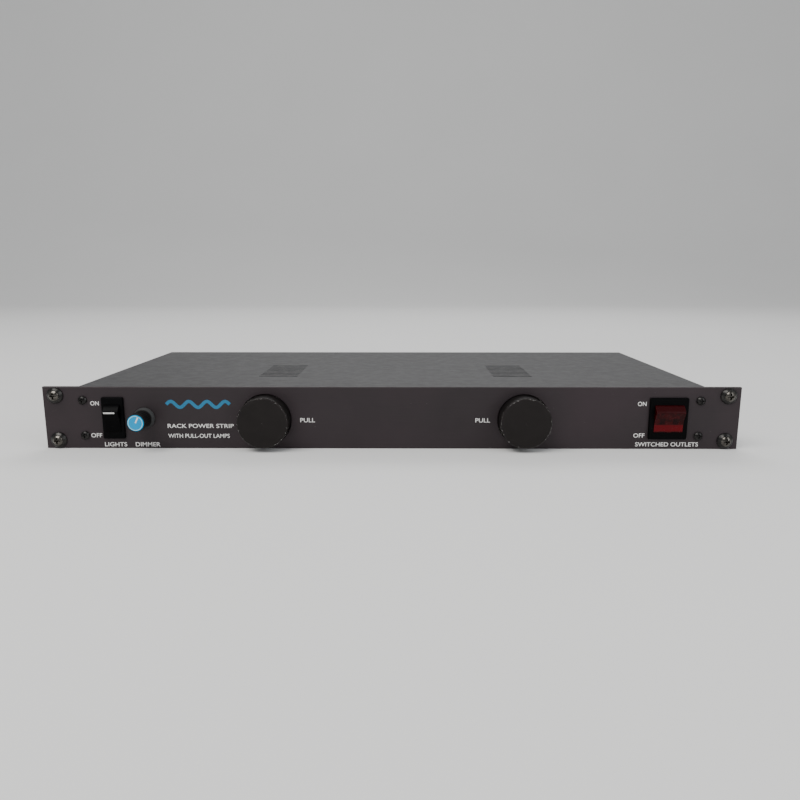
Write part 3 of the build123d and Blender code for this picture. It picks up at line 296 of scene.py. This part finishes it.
def red_rocker_lens():
    """Dark red translucent plastic with painted light and shade: lighter over the lower face, which faces up
    to the light, and darker over the upper face and top end.
    """
    s = Surface("red_lens", Specular_IOR_Level=0.12)
    s.soften(0.25)
    centre = centre_of("power_rocker")
    across = s.math("ABSOLUTE", s.math("SUBTRACT", s.component("X"), centre.x))
    up = s.math("SUBTRACT", s.component("Z"), centre.z)
    # Painted light and shade: the lower band is painted lit, the top end painted shaded.
    painted_lit_band = s.math("MULTIPLY", s.span(up, (-3.6 * MM, -4.4 * MM)), s.span(up, (-9.0 * MM, -8.4 * MM)))
    painted_shade_top = s.span(up, (4.6 * MM, 5.2 * MM))
    blotch = s.span(s.noise(3.2, 3.0, 0.5, s.stretched(x=0.8, y=0.3), distortion=0.9), (0.42, 0.62))
    from_foot = s.math("ABSOLUTE", s.math("SUBTRACT", across, 4.6 * MM))
    foot = s.math("MULTIPLY", s.span(from_foot, (2.3 * MM, 1.5 * MM)), s.span(up, (1.0 * MM, 0.2 * MM)))
    flow = s.noise(6.0, 2.0, 0.4, s.stretched(x=0.4), distortion=0.6)
    # Painted lit and shaded copies of the red: the lit one for the lower band, the shaded one elsewhere.
    painted_lit_red = s.mix(flow, (0.070, 0.001, 0.003), (0.112, 0.002, 0.005))
    painted_shade_red = s.mix(blotch, (0.020, 0.0008, 0.0012), (0.044, 0.0022, 0.0030))
    painted_shade_red = s.mix(s.math("MULTIPLY", foot, 0.7), painted_shade_red, (0.006, 0.0008, 0.0010))
    tone = s.mix(painted_lit_band, s.mix(painted_shade_top, painted_shade_red, (0.024, 0.0003, 0.0010)), painted_lit_red)
    # Lighter along the edges: a painted edge highlight.
    s.set(Base_Color=s.mix(s.math("MULTIPLY", s.edges(0.6), 0.35), tone, (0.15, 0.016, 0.020)))
    s.set(Roughness=s.span(s.noise(3.0, 3.0, 0.5), (0.35, 0.7), (0.20, 0.30)))
    return s.bump(s.noise(3.5, 2.0, 0.4), 0.006)


def fluted_knob():
    """Black knob with a painted highlight: its skirt is mixed greyer."""
    s = Surface("knob_black", Specular_IOR_Level=0.3)
    s.soften(0.15)
    centre = centre_of("dimmer_knob")
    # Painted highlight: the skirt is mixed greyer.
    painted_skirt_highlight = s.span(s.from_axis(centre.x, centre.z), (6.15 * MM, 6.5 * MM))
    tone = s.mix(s.noise(4.0, 4.0, 0.6), (0.0035, 0.0035, 0.0038), (0.007, 0.007, 0.007))
    s.set(Base_Color=s.mix(painted_skirt_highlight, tone, (0.048, 0.050, 0.050)))
    s.set(Roughness=s.span(s.noise(1.5, 4.0, 0.6), NOISE_SPREAD, (0.34, 0.50)))
    return s.bump(s.noise(0.3, 2.0, 0.45), 0.008)


def frosted_glass():
    """Bulb envelope with an internal white coat."""
    s = Surface("frosted_glass", Specular_IOR_Level=0.5, Subsurface_Weight=0.5, Subsurface_Scale=0.004)
    tone = s.mix(s.noise(6.0, 3.0), (0.86, 0.84, 0.79), (0.93, 0.92, 0.88))
    s.set(Base_Color=tone, Transmission_Weight=0.15)
    s.set(Roughness=s.span(s.noise(2.5, 4.0, 0.6), NOISE_SPREAD, (0.20, 0.34)))
    return s.bump(s.noise(3.0, 2.0), 0.02)


def neon_glass():
    """Small clear indicator tube with a faint amber fill."""
    s = Surface("clear_glass", Transmission_Weight=0.85, IOR=1.47)
    s.set(Base_Color=s.mix(s.noise(2.0, 3.0), (0.95, 0.80, 0.68), (1.0, 0.90, 0.80)))
    return s.set(Roughness=s.span(s.noise(1.0, 3.0), NOISE_SPREAD, (0.03, 0.10)))


def solder_masked_board():
    """Green laminate with copper tracks showing as lighter runs under the mask."""
    s = Surface("board", Specular_IOR_Level=0.5, Coat_Weight=0.4)
    lines = s.cells(9.0, "DISTANCE_TO_EDGE", s.stretched(x=1.0, y=0.45, z=0.0))
    track = s.span(lines, (0.05, 0.09), (1.0, 0.0))
    s.set(Base_Color=s.mix(track, (0.010, 0.085, 0.030), (0.045, 0.20, 0.065)))
    s.set(Roughness=s.span(s.noise(5.0, 4.0), NOISE_SPREAD, (0.28, 0.42)))
    return s.bump(track, 0.03)


def printed_ink(name, color):
    """Screen-printed ink: slightly uneven cover and a dry surface."""
    s = Surface(name, Specular_IOR_Level=0.35)
    darker = tuple(c * 0.82 for c in color)
    s.set(Base_Color=s.mix(s.span(s.noise(0.5, 3.0, 0.6), (0.35, 0.6)), darker, color))
    s.set(Roughness=s.span(s.noise(0.8, 3.0), NOISE_SPREAD, (0.42, 0.58)))
    return s.bump(s.noise(0.2, 2.0), 0.004)


# Low tone, high tone, range of roughness and share of dark flecks.
METALS = {
    "nickel": ((0.38, 0.36, 0.33), (0.62, 0.60, 0.56), (0.14, 0.28), 0.5),
    # Nickel with painted shade: its tones are darkened to stand in for dark reflected surroundings.
    "nickel_with_painted_shade": ((0.042, 0.039, 0.035), (0.150, 0.140, 0.125), (0.09, 0.20), 0.6),
    "dark_washer": ((0.018, 0.018, 0.018), (0.052, 0.050, 0.048), (0.20, 0.34), 0.4),
    "black_steel": ((0.018, 0.0175, 0.0175), (0.046, 0.044, 0.043), (0.22, 0.38), 0.4),
    "brass": ((0.58, 0.40, 0.15), (0.76, 0.56, 0.25), (0.18, 0.36), 0.4),
    "copper_alloy": ((0.58, 0.33, 0.17), (0.74, 0.46, 0.26), (0.20, 0.38), 0.3),
    "ferrite": ((0.34, 0.20, 0.05), (0.66, 0.36, 0.14), (0.22, 0.40), 0.2),
}

# Low tone, high tone, range of roughness, grain size and depth in mm, and shine.
PLASTICS = {
    "black_plastic": ((0.0010, 0.0011, 0.0013), (0.0024, 0.0024, 0.0027), (0.36, 0.52), 0.35, 0.012, 0.05),
    "gloss_black_plastic": ((0.001, 0.001, 0.0012), (0.002, 0.002, 0.0022), (0.30, 0.42), 0.6, 0.006, 0.04),
    "outlet_black": ((0.012, 0.012, 0.012), (0.019, 0.019, 0.019), (0.34, 0.48), 0.35, 0.012, 0.45),
    "blue_plastic": ((0.0010, 0.29, 0.58), (0.003, 0.34, 0.66), (0.40, 0.54), 0.3, 0.006, 0.05),
    "nylon_natural": ((0.70, 0.67, 0.58), (0.80, 0.78, 0.70), (0.38, 0.54), 0.35, 0.012, 0.45),
    "phenolic": ((0.030, 0.017, 0.011), (0.062, 0.035, 0.022), (0.30, 0.46), 0.6, 0.012, 0.45),
    "white_plastic": ((0.72, 0.71, 0.67), (0.82, 0.81, 0.78), (0.22, 0.36), 0.5, 0.006, 0.45),
    "rubber_cord": ((0.010, 0.010, 0.011), (0.020, 0.019, 0.019), (0.44, 0.62), 0.5, 0.020, 0.35),
    "capacitor": ((0.62, 0.40, 0.05), (0.74, 0.50, 0.08), (0.34, 0.48), 0.35, 0.012, 0.45),
    "varistor": ((0.030, 0.085, 0.28), (0.045, 0.12, 0.36), (0.22, 0.36), 1.5, 0.030, 0.45),
    "black_wire": ((0.014, 0.014, 0.014), (0.024, 0.024, 0.024), (0.32, 0.46), 0.35, 0.012, 0.45),
    "white_wire": ((0.68, 0.67, 0.63), (0.80, 0.79, 0.76), (0.32, 0.46), 0.35, 0.012, 0.45),
    "green_wire": ((0.012, 0.15, 0.035), (0.022, 0.21, 0.055), (0.32, 0.46), 0.35, 0.012, 0.45),
    "purple_wire": ((0.10, 0.025, 0.16), (0.15, 0.045, 0.22), (0.32, 0.46), 0.35, 0.012, 0.45),
}


def look(slot):
    """The material for a slot of the record, or for one of the extra finishes."""
    if slot in METALS:
        return plated(slot, *METALS[slot])
    if slot in PLASTICS:
        return moulded(slot, *PLASTICS[slot])
    return {
        "black_anodised": anodised_panel,
        "zinc_steel": zinc_sheet,
        "black_paint": powder_coat,
        "black_tube": satin_tube,
        "red_lens": red_rocker_lens,
        "frosted_glass": frosted_glass,
        "clear_glass": neon_glass,
        "board": solder_masked_board,
    }[slot]()


def centre_of(node):
    low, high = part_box(node)
    return (low + high) / 2


def dress(node, material):
    """Gives a CAD node one material."""
    mesh = frame["nodes"][node].data
    mesh.materials.clear()
    mesh.materials.append(material)


OUTLET_MODULES = [f"outlet_module_{number}" for number in range(1, 5)]


def dress_all():
    """Every CAD node by its slot in the record, then the nodes whose finish follows an axis."""
    looks = {}
    for row in frame["record"]["subparts"]:
        slot = row["material_slot"]
        if slot not in looks:
            looks[slot] = look(slot).material
        dress(row["node"], looks[slot])
    for side in ("left", "right"):
        centre = centre_of(f"{side}_tube_cap")
        bore_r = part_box(f"{side}_lamp_holder")[1].x - centre.x
        dress(f"{side}_tube_cap", tube_cap_enamel(f"{side}_cap_enamel", centre).material)
        dress(f"{side}_light_tube", lamp_tube_coat(f"{side}_tube_coat", centre, bore_r).material)
    dress("dimmer_knob", fluted_knob().material)
    # The rack screws get nickel with painted shade, darkened as if reflecting dark surroundings.
    dress("rack_screws", look("nickel_with_painted_shade").material)
    dress("rack_washers", look("dark_washer").material)
    outlet_black = look("outlet_black").material
    for module in OUTLET_MODULES:
        dress(module, outlet_black)


# ---- pieces -------------------------------------------------------------------------------------
def add_piece(name, mesh, body, surface, smooth=True):
    """Links a finished mesh as a piece that rides on a body."""
    piece = bpy.data.objects.new(name, mesh)
    bpy.context.scene.collection.objects.link(piece)
    for polygon in mesh.polygons:
        polygon.use_smooth = smooth
    mesh.materials.clear()
    mesh.materials.append(surface.material)
    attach(piece, body)
    return piece


def mesh_from(build):
    """A new mesh filled by a function that takes a bmesh."""
    data = bmesh.new()
    build(data)
    bmesh.ops.recalc_face_normals(data, faces=data.faces)
    mesh = bpy.data.meshes.new("piece")
    data.to_mesh(mesh)
    data.free()
    return mesh


def skin(data, rings, capped=True):
    """Joins rings of vertices, each listed in order around, into a closed surface."""
    for first, second in zip(rings, rings[1:]):
        for a in range(len(first)):
            b = (a + 1) % len(first)
            data.faces.new((first[a], first[b], second[b], second[a]))
    if capped:
        data.faces.new(rings[0])
        data.faces.new(rings[-1])


def helix(data, radius, height, pitch, length, steps=20):
    """Adds a thread ridge about the Y axis, starting at y = 0 and fading in and out at its ends."""
    count = int(length / pitch * steps)
    foot = radius - 0.05 * MM
    rings = []
    for i in range(count + 1):
        angle = tau * i / steps
        crest = radius + height * min(1.0, i / steps, (count - i) / steps)
        middle = length * i / count
        section = ((foot, middle - 0.42 * pitch), (crest, middle), (foot, middle + 0.42 * pitch))
        rings.append([data.verts.new((r * cos(angle), y, r * sin(angle))) for r, y in section])
    skin(data, rings)


def lettering(text, cap_height, width=None):
    """A flat mesh of the text in X and Z, centred on the origin and scaled to a size."""
    curve = bpy.data.curves.new("lettering", "FONT")
    curve.body = text
    curve.extrude = 0.01
    curve.offset = 0.008
    curve.resolution_u = 5
    letters = bpy.data.objects.new("lettering", curve)
    mesh = bpy.data.meshes.new_from_object(letters)
    bpy.data.objects.remove(letters)
    low = [min(v.co[i] for v in mesh.vertices) for i in range(3)]
    high = [max(v.co[i] for v in mesh.vertices) for i in range(3)]
    size = [high[i] - low[i] for i in range(3)]
    middle = [(high[i] + low[i]) / 2 for i in range(3)]
    tall = cap_height / size[1]
    wide = width / size[0] if width else tall
    for vertex in mesh.vertices:
        x, y, z = (vertex.co[i] - middle[i] for i in range(3))
        vertex.co = (x * wide, -z * INK_T / size[2], y * tall)
    return mesh


def print_on_panel(name, mesh, x, z, surface):
    """Places a printed mesh on the panel's face, centred at x, z."""
    face_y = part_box("front_panel")[0].y
    mesh.transform(Matrix.Translation((x, face_y - INK_LIFT - INK_T / 2, z)))
    return add_piece(name, mesh, "frame", surface, smooth=False)


def front_legends(ink):
    """White legends round the controls; each is placed from the part that it names."""
    lights_low, lights_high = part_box("lights_switch_housing")
    power_low, power_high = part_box("power_switch_housing")
    lights_x = (lights_low.x + lights_high.x) / 2
    power_x = (power_low.x + power_high.x) / 2
    knob_x = centre_of("dimmer_knob").x
    left_cap_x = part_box("left_tube_cap")[1].x
    right_cap_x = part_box("right_tube_cap")[0].x
    under_z = lights_low.z / MM - 4.3
    # Name, text, the edge or centre it is placed from, then in mm: offset along X, height and width.
    rows = (
        ("lights_on", "ON", lights_low.x, -5.0, 10.3, 6.0),
        ("lights_off", "OFF", lights_low.x, -5.35, -12.5, 7.7),
        ("outlets_on", "ON", power_low.x, -5.15, 10.3, 6.0),
        ("outlets_off", "OFF", power_low.x, -6.0, -12.1, 7.7),
        ("pull_left", "PULL", left_cap_x, 11.75, -1.5, 10.2),
        ("pull_right", "PULL", right_cap_x, -10.75, -1.5, 10.2),
        ("lights", "LIGHTS", lights_x, 0.1, under_z, 15.6),
        ("dimmer", "DIMMER", knob_x, 1.1, under_z, 17.3),
        ("outlets", "SWITCHED OUTLETS", power_x, 0.4, under_z + 0.5, 43.8),
    )
    for name, text, from_x, offset, z, width in rows:
        mesh = lettering(text, PANEL_TEXT_H, width * MM)
        print_on_panel(f"legend_{name}", mesh, from_x + offset * MM, z * MM, ink)


def front_title(white, blue):
    """A generic blue wave mark over two lines that say what the unit is."""
    left_x = centre_of("dimmer_knob").x + 15.7 * MM
    lines = (("RACK POWER STRIP", -5.7, 46.2), ("WITH PULL-OUT LAMPS", -12.8, 43.0))
    for number, (text, z, width) in enumerate(lines, start=1):
        mesh = lettering(text, TITLE_TEXT_H, width * MM)
        print_on_panel(f"title_line_{number}", mesh, left_x + width * MM / 2, z * MM, white)
    mark_w, mark_z = 44.0 * MM, 9.6 * MM
    mark = mesh_from(lambda data: wave_mark(data, mark_w, swing=2.1 * MM, half_width=1.15 * MM, cycles=3.5))
    print_on_panel("title_mark", mark, left_x + mark_w / 2, mark_z, blue)


def wave_mark(data, length, swing, half_width, cycles, steps=140):
    """A thick sine line of printed ink."""
    depth = Vector((0, INK_T / 2, 0))
    rings = []
    for i in range(steps + 1):
        t = i / steps
        angle = tau * cycles * t
        slope = atan2(swing * cos(angle) * tau * cycles / length, 1.0)
        across = Vector((-sin(slope), 0, cos(slope))) * half_width
        middle = Vector(((t - 0.5) * length, 0, swing * sin(angle)))
        corners = (across + depth, across - depth, -across - depth, -across + depth)
        rings.append([data.verts.new(middle + corner) for corner in corners])
    skin(data, rings)


def rocker_bar(ink):
    """White bar printed over the upper edge of the lights rocker, laid on the rocker's own face."""
    low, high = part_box("lights_rocker")
    rocker = frame["nodes"]["lights_rocker"].data
    tree = BVHTree.FromPolygons([v.co for v in rocker.vertices], [tuple(p.vertices) for p in rocker.polygons])
    middle_x = (low.x + high.x) / 2
    left_x = low.x + 1.2 * MM
    right_x = left_x + 7.8 * MM
    top_z, bottom_z, steps = 5.0 * MM, 3.9 * MM, 8
    sunk = 0.05 * MM

    def build(data):
        rings = []
        for i in range(steps + 1):
            z = top_z + (bottom_z - top_z) * i / steps
            face_y = tree.ray_cast(Vector((middle_x, low.y - MM, z)), Vector((0, 1, 0)))[0].y
            front, back = face_y - INK_T, face_y + sunk
            corners = ((left_x, front, z), (right_x, front, z), (right_x, back, z), (left_x, back, z))
            rings.append([data.verts.new(corner) for corner in corners])
        skin(data, rings)

    add_piece("lights_rocker_bar", mesh_from(build), "lights_rocker_body", ink, smooth=False)


def flat_ring(data, inner_r, outer_r, thick, steps=72):
    """A flat ring about the Y axis."""
    rings = []
    for radius, y in ((inner_r, -thick), (outer_r, -thick), (outer_r, thick), (inner_r, thick)):
        angles = [tau * i / steps for i in range(steps)]
        rings.append([data.verts.new((radius * cos(a), y, radius * sin(a))) for a in angles])
    skin(data, rings + rings[:1], capped=False)


def dimmer_markings(white, pale):
    """Pointer line and pale rim on the dimmer's cap."""
    centre = centre_of("dimmer_cap")
    at_face = Matrix.Translation((centre.x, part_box("dimmer_cap")[0].y - INK_LIFT, centre.z))
    pointer_deg = 26.0
    width, length, inner_r = 0.95 * MM, 4.8 * MM, 0.2 * MM

    def pointer(data):
        bmesh.ops.create_cube(data, size=1.0)
        bmesh.ops.scale(data, vec=(width, 2 * INK_T, length), verts=data.verts)
        bmesh.ops.bevel(data, geom=data.edges[:], offset=0.02 * MM, segments=2, affect="EDGES")
        bmesh.ops.translate(data, vec=(0, 0, inner_r + length / 2), verts=data.verts)

    line = mesh_from(pointer)
    line.transform(at_face @ Matrix.Rotation(radians(pointer_deg), 4, "Y"))
    add_piece("dimmer_pointer", line, "dimmer_control", white, smooth=False)
    rim = mesh_from(lambda data: flat_ring(data, 4.60 * MM, 4.98 * MM, INK_T))
    rim.transform(at_face)
    add_piece("dimmer_rim_line", rim, "dimmer_control", pale, smooth=False)


def rack_screw_threads(steel):
    """A thread ridge on each rack screw, behind the ear."""
    ears = next(m["dims"] for m in frame["record"]["mounts"] if m["name"] == "rack_ears")
    hole_x, hole_z = ears["spacing_x_mm"] / 2 * MM, ears["spacing_y_mm"] / 2 * MM
    screw_r = ears["stud_r_mm"] * MM
    start_y = 0.3 * MM
    height, pitch, length = 0.16 * MM, 0.794 * MM, 11.0 * MM
    for across, x in (("left", -hole_x), ("right", hole_x)):
        for level, z in (("lower", -hole_z), ("upper", hole_z)):
            mesh = mesh_from(lambda data: helix(data, screw_r, height, pitch, length))
            mesh.transform(Matrix.Translation((x, start_y, z)))
            add_piece(f"rack_screw_thread_{across}_{level}", mesh, "frame", steel)


def breaker_thread(dark):
    """A thread ridge on the breaker's bushing, outside its nut."""
    nut = centre_of("breaker_nut")
    start_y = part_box("breaker_nut")[1].y + 0.3 * MM
    bushing_r, height, pitch, length = 4.7 * MM, 0.10 * MM, 0.9 * MM, 3.6 * MM
    mesh = mesh_from(lambda data: helix(data, bushing_r, height, pitch, length, steps=32))
    mesh.transform(Matrix.Translation((nut.x, start_y, nut.z)))
    add_piece("breaker_bushing_thread", mesh, "frame", dark)


def print_on_rear(name, text, place, ink):
    """Lettering on a surface that faces +Y."""
    mesh = lettering(text, REAR_TEXT_H)
    lifted = Vector(place) + Vector((0, INK_LIFT + INK_T / 2, 0))
    mesh.transform(Matrix.Translation(lifted) @ Matrix.Rotation(pi, 4, "Z"))
    add_piece(name, mesh, "frame", ink, smooth=False)


def rear_legends(white, black):
    """Outlet numbers on the lid's rear lip, and a legend under the breaker."""
    lip_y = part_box("top_cover")[1].y
    half_pitch, lip_z = 20.5 * MM, 18.7 * MM
    number = 1
    for module in reversed(OUTLET_MODULES):
        for offset in (half_pitch, -half_pitch):
            place = (centre_of(module).x + offset, lip_y, lip_z)
            print_on_rear(f"outlet_number_{number}", str(number), place, white)
            number += 1
    nut_low, nut_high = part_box("breaker_nut")
    place = ((nut_low.x + nut_high.x) / 2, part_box("chassis")[1].y, nut_low.z - 3.6 * MM)
    print_on_rear("legend_reset", "RESET", place, black)


# ---- studio -------------------------------------------------------------------------------------
def studio_floor():
    """A pale floor that curves up behind the object."""
    surface = Surface("floor", Roughness=0.85, Specular_IOR_Level=0.2)
    surface.set(Base_Color=surface.mix(surface.noise(400.0, 2.0), (0.80, 0.80, 0.79), (0.84, 0.84, 0.83)))
    floor_z = CAD_BOX[0][2]

    def build(data):
        half_w, reach, bend, wall, steps = 9.0, 3.0, 1.2, 3.5, 16
        profile = [(-reach, 0.0), (reach - bend, 0.0)]
        for i in range(1, steps + 1):
            angle = pi / 2 * i / steps
            profile.append((reach - bend + bend * sin(angle), bend - bend * cos(angle)))
        profile.append((reach, wall))
        rows = [[data.verts.new((x, y, floor_z + z)) for x in (-half_w, half_w)] for y, z in profile]
        for first, second in zip(rows, rows[1:]):
            data.faces.new((first[0], first[1], second[1], second[0]))

    mesh = mesh_from(build)
    floor = bpy.data.objects.new("studio_floor", mesh)
    bpy.context.scene.collection.objects.link(floor)
    mesh.materials.append(surface.material)
    for polygon in mesh.polygons:
        polygon.use_smooth = True


def area_light(name, place, aim, size, power, color=(1.0, 1.0, 1.0)):
    data = bpy.data.lights.new(name, "AREA")
    data.shape = "RECTANGLE"
    data.size, data.size_y = size
    data.energy = power
    data.color = color
    lamp = bpy.data.objects.new(name, data)
    bpy.context.scene.collection.objects.link(lamp)
    lamp.location = place
    lamp.rotation_euler = (Vector(aim) - Vector(place)).to_track_quat("-Z", "Y").to_euler()


def studio_light():
    """A large soft key from above and left, a weaker fill, and a pale surrounding."""
    area_light("key", (-0.7, -0.9, 1.5), (0, 0, 0), (1.6, 1.0), 26.0, (1.0, 0.985, 0.96))
    area_light("fill", (1.2, -0.8, 0.7), (0, 0, 0), (1.0, 1.0), 7.0, (0.95, 0.97, 1.0))
    area_light("back", (0.2, 1.3, 1.3), (0, 0.1, 0), (1.6, 0.6), 10.0)
    world = bpy.data.worlds.new("studio")
    world.use_nodes = True
    background = world.node_tree.nodes["Background"]
    background.inputs["Color"].default_value = (0.93, 0.94, 0.96, 1.0)
    background.inputs["Strength"].default_value = 0.55
    bpy.context.scene.world = world


def studio_camera():
    """Eye level just above the rack, close to the panel and looking slightly down."""
    data = bpy.data.cameras.new("camera")
    data.sensor_width = 36.0
    data.lens = 30.86235
    data.clip_start = 0.01
    camera = bpy.data.objects.new("camera", data)
    bpy.context.scene.collection.objects.link(camera)
    face_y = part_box("front_panel")[0].y
    camera.location = (9.0 * MM, face_y - 465.2 * MM, 103.3 * MM)
    camera.rotation_euler = (radians(90.0 - 11.0), 0.0, radians(0.34))
    bpy.context.scene.camera = camera


# ---- scene --------------------------------------------------------------------------------------
dress_all()
white_ink = printed_ink("white_ink", (0.86, 0.85, 0.83))
blue_ink = printed_ink("blue_ink", (0.016, 0.18, 0.34))
pale_ink = printed_ink("pale_blue_ink", (0.44, 0.88, 0.96))
front_legends(white_ink)
front_title(white_ink, blue_ink)
rocker_bar(white_ink)
dimmer_markings(white_ink, pale_ink)
# Threads in the same nickel with painted shade.
rack_screw_threads(look("nickel_with_painted_shade"))
breaker_thread(look("phenolic"))
rear_legends(white_ink, printed_ink("black_ink", (0.012, 0.012, 0.013)))
studio_floor()
studio_light()
studio_camera()
